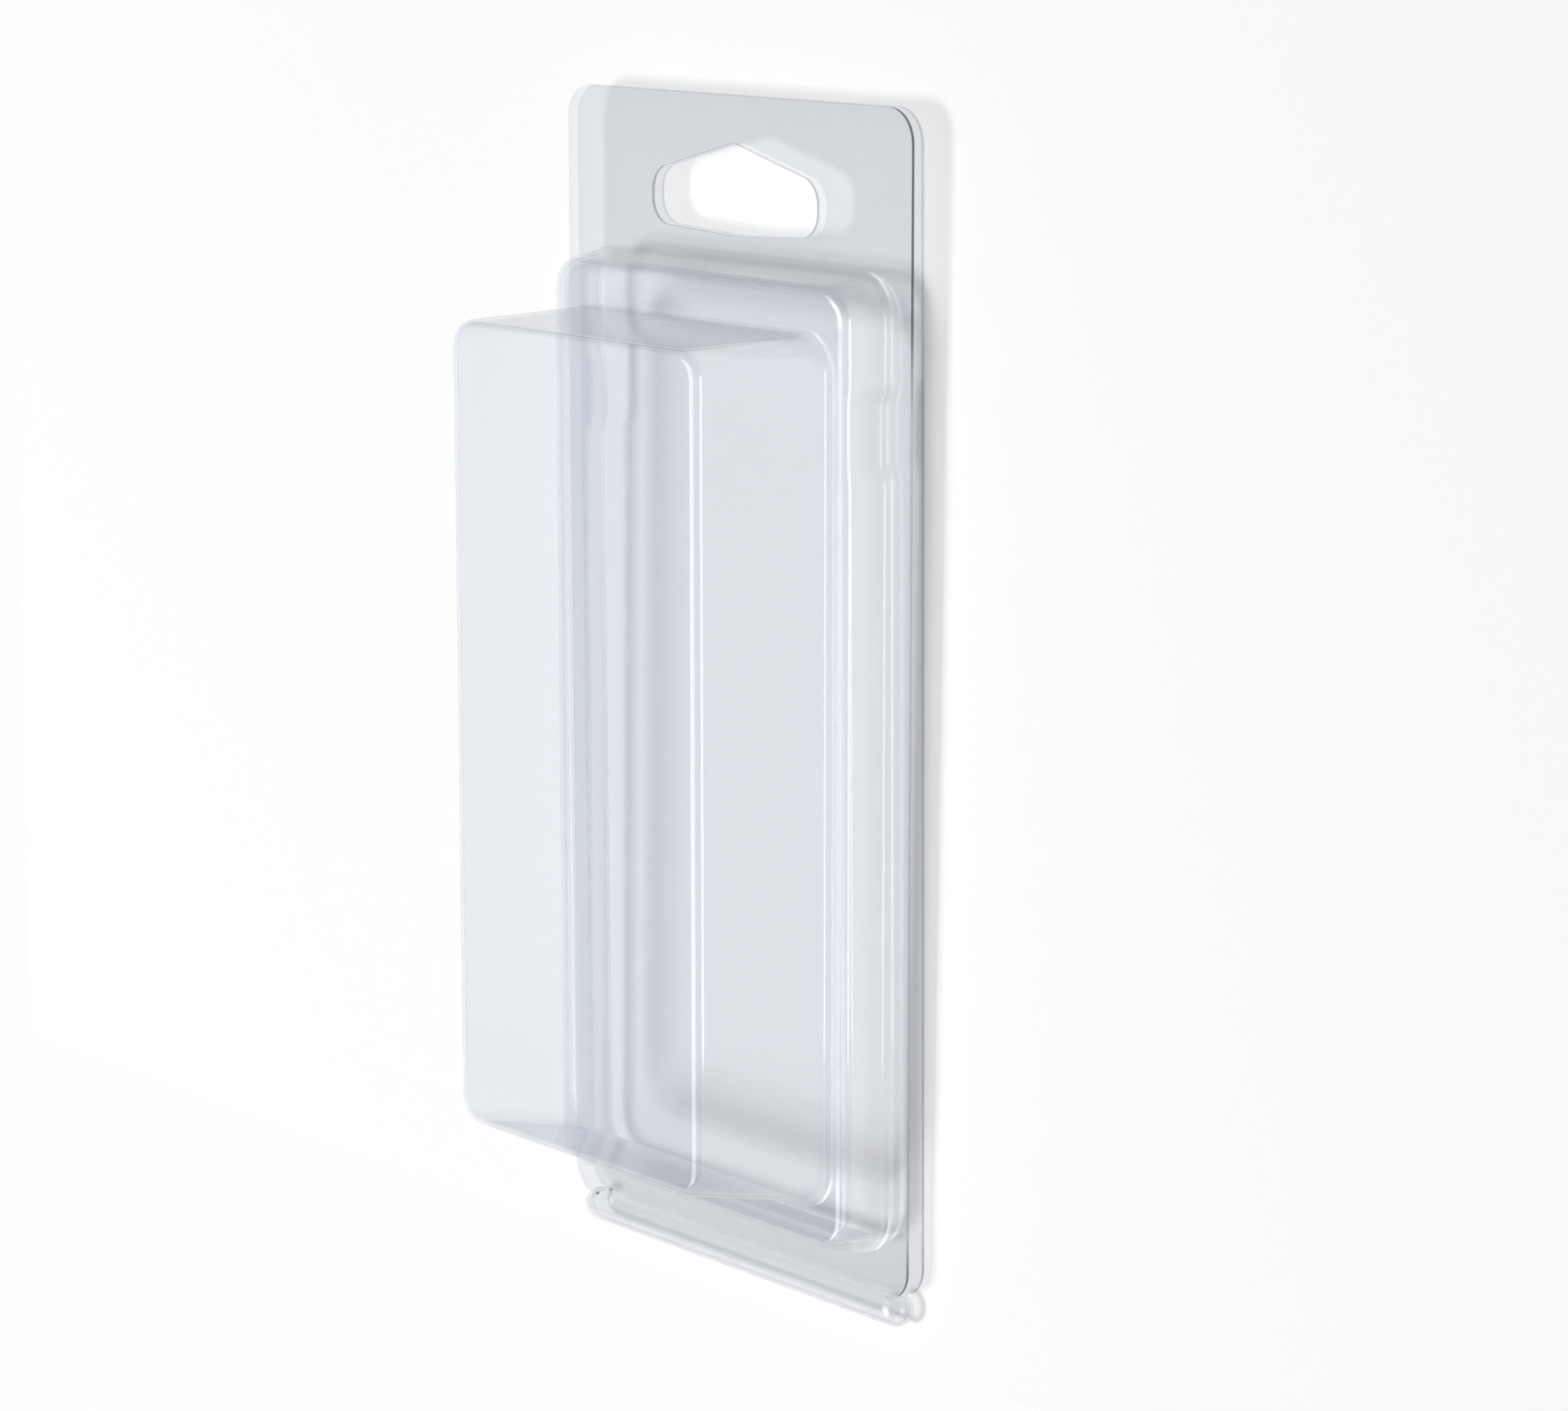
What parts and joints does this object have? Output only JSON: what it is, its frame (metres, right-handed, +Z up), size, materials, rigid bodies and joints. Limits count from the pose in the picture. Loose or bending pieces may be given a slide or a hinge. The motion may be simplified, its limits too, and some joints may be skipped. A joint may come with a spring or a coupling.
{
  "type": "plastic clamshell pack",
  "caption": "Clear thermoformed clamshell pack with a deep front pocket, a nested back half, a hang-hole header and a living hinge bead at the foot.",
  "frame": {"origin": "where a shop hook bears: under the peak of the hang hole, midway between the two header sheets", "axes": "+Z up as the pack hangs, -Y out of the pack's front, +X to the right as seen from the front"},
  "size_m": [0.0666, 0.0294, 0.1506],
  "materials": {
    "clear_sheet_front": "clear glossy thermoformed sheet",
    "clear_sheet_back": "clear glossy thermoformed sheet"
  },
  "bodies": {
    "front_half": {"front_shell": "clear_sheet_front"},
    "back_half": {"back_shell": "clear_sheet_back"}
  },
  "joints": [
    {"name": "foot_hinge", "type": "hinge", "parent": "front_half", "child": "back_half", "pos_m": [0, 0.00055, -0.14481], "axis": [-1, 0, 0], "range_deg": [0, 180]}
  ]
}
